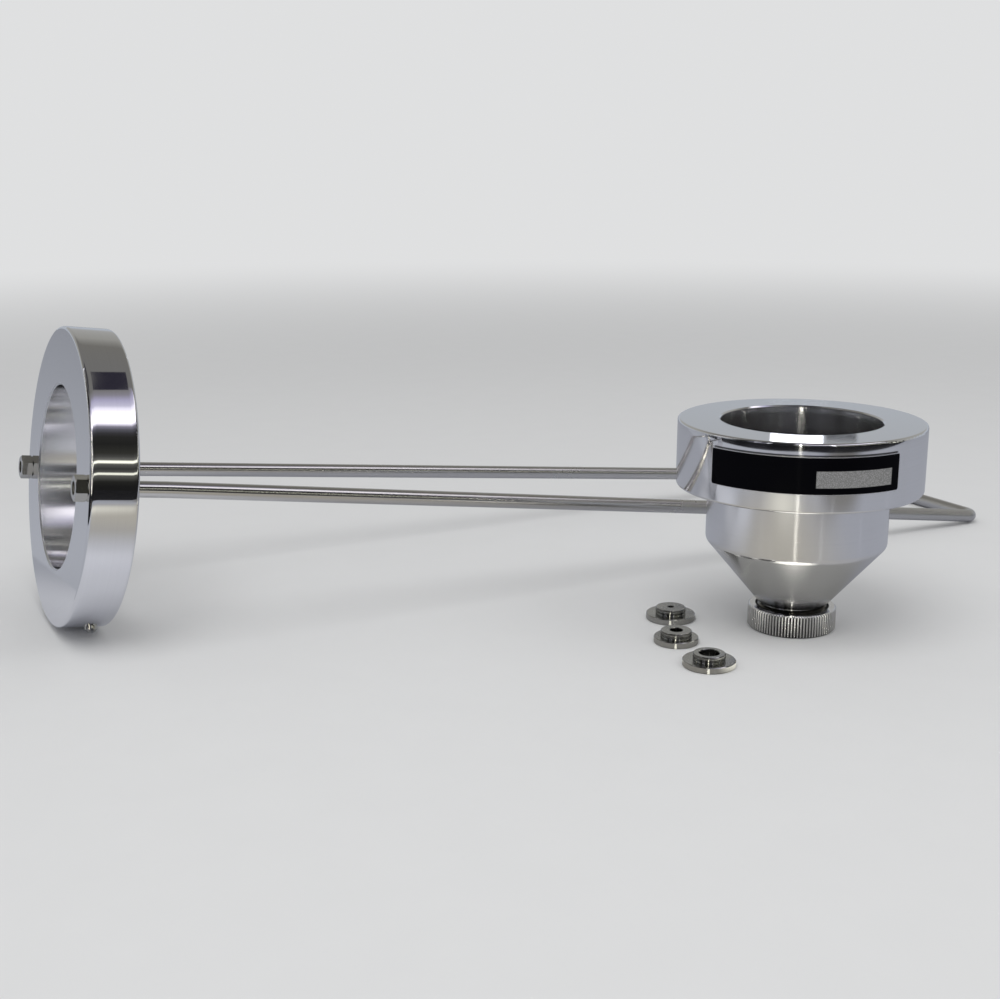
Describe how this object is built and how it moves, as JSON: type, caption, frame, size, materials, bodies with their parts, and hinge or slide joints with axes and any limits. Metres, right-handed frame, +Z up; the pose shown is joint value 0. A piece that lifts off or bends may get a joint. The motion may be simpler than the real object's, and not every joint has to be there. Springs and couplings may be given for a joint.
{
  "type": "viscosity flow cup",
  "caption": "Turned metal flow cup with conical bottom and knurled union nut, loose flanged nozzles, and a holder ring on a long bent-rod bail.",
  "frame": {"origin": "on the cup's axis at the mouth of the outlet hole in the foot of its union nut, on the plane that everything stands on", "axes": "+Z up along the cup's axis; +X along the lying holder, from its ring to the bar of its bail; +Y from the cup towards the holder"},
  "size_m": [0.3675, 0.1971, 0.0962],
  "materials": {
    "cup_metal": "polished",
    "ring_metal": "polished, faces fine turned",
    "nut_metal": "knurled, plated",
    "nozzle_metal": "fine turned",
    "rod_steel": "drawn bright",
    "fastener_steel": "plated",
    "plate_black": "gloss",
    "seal_white": "smooth"
  },
  "bodies": {
    "holder": {"holder_ring": "ring_metal", "bail": "rod_steel", "rod_nut_near": "fastener_steel", "rod_nut_far": "fastener_steel"},
    "clamp_screw": {"clamp_screw": "fastener_steel"},
    "nut": {"union_nut": "nut_metal"},
    "seal": {"seal_washer": "seal_white"},
    "cup": {"cup_body": "cup_metal", "name_plate": "plate_black"},
    "nozzle_2mm": {"nozzle_2mm": "nozzle_metal"},
    "nozzle_4mm": {"nozzle_4mm": "nozzle_metal"},
    "nozzle_6mm": {"nozzle_6mm": "nozzle_metal"}
  },
  "joints": [
    {"name": "cup_lift", "type": "slide", "parent": "holder", "child": "nut", "axis": [0, 0, 1], "range_m": [0, 0.08]},
    {"name": "cup_unscrew", "type": "hinge", "parent": "nut", "child": "seal", "pos_m": [0, 0, 0.0024], "axis": [0, 0, 1], "range_deg": [0, 1080]},
    {"name": "cup_rise", "type": "slide", "parent": "seal", "child": "cup", "axis": [0, 0, 1], "range_m": [0, 0.0046]},
    {"name": "clamp_travel", "type": "slide", "parent": "holder", "child": "clamp_screw", "axis": [0.1201, 0.3584, 0.9258], "range_m": [0, 0.0012]},
    {"name": "nozzle_2mm_lift", "type": "slide", "parent": "holder", "child": "nozzle_2mm", "axis": [0, 0, 1], "range_m": [0, 0.04]},
    {"name": "nozzle_4mm_lift", "type": "slide", "parent": "holder", "child": "nozzle_4mm", "axis": [0, 0, 1], "range_m": [0, 0.04]},
    {"name": "nozzle_6mm_lift", "type": "slide", "parent": "holder", "child": "nozzle_6mm", "axis": [0, 0, 1], "range_m": [0, 0.04]}
  ],
  "couplings": [
    {"joint": "cup_rise", "follows": "cup_unscrew", "m_per_rad": 0.00023873}
  ]
}
